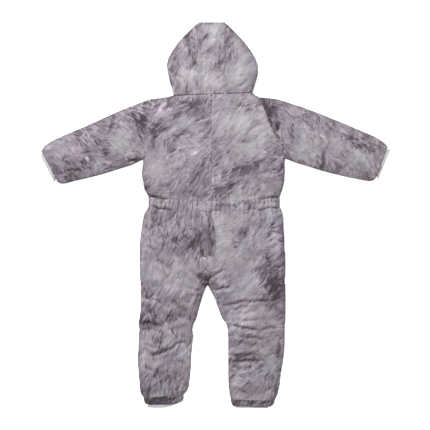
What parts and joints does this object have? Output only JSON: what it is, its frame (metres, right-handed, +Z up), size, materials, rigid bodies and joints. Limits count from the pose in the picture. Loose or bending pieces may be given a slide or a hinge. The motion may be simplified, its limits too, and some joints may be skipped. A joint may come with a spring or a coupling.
{
  "type": "toddler snowsuit",
  "caption": "Padded one-piece toddler snowsuit laid flat face down, with a three-panel hood, set-in sleeves, gathered waist casing, elastic ankle cuffs and a front zip.",
  "frame": {"origin": "middle of the laid-out suit on the surface that its front lies on", "axes": "+X to the wearer's right, +Y to the crown of the hood, +Z up from the surface through the back"},
  "size_m": [0.822, 0.907, 0.035],
  "materials": {
    "shell": "soft printed shell over padding",
    "lining": "pale fleece",
    "zip": "matte"
  },
  "bodies": {
    "root": {"hood_centre": "shell", "hood_side_left": "shell", "hood_side_right": "shell", "back_left": "shell", "back_right": "shell", "waist_casing_back": "shell", "leg_back_left": "shell", "leg_back_right": "shell", "front_left": "shell", "front_right": "shell", "sleeve_left": "shell", "sleeve_right": "shell", "zip_tape": "zip", "zip_slider": "zip", "ankle_casing_left": "shell", "ankle_casing_right": "shell", "ankle_lining_left": "lining", "ankle_lining_right": "lining", "wrist_lining_left": "lining", "wrist_lining_right": "lining"}
  },
  "joints": []
}
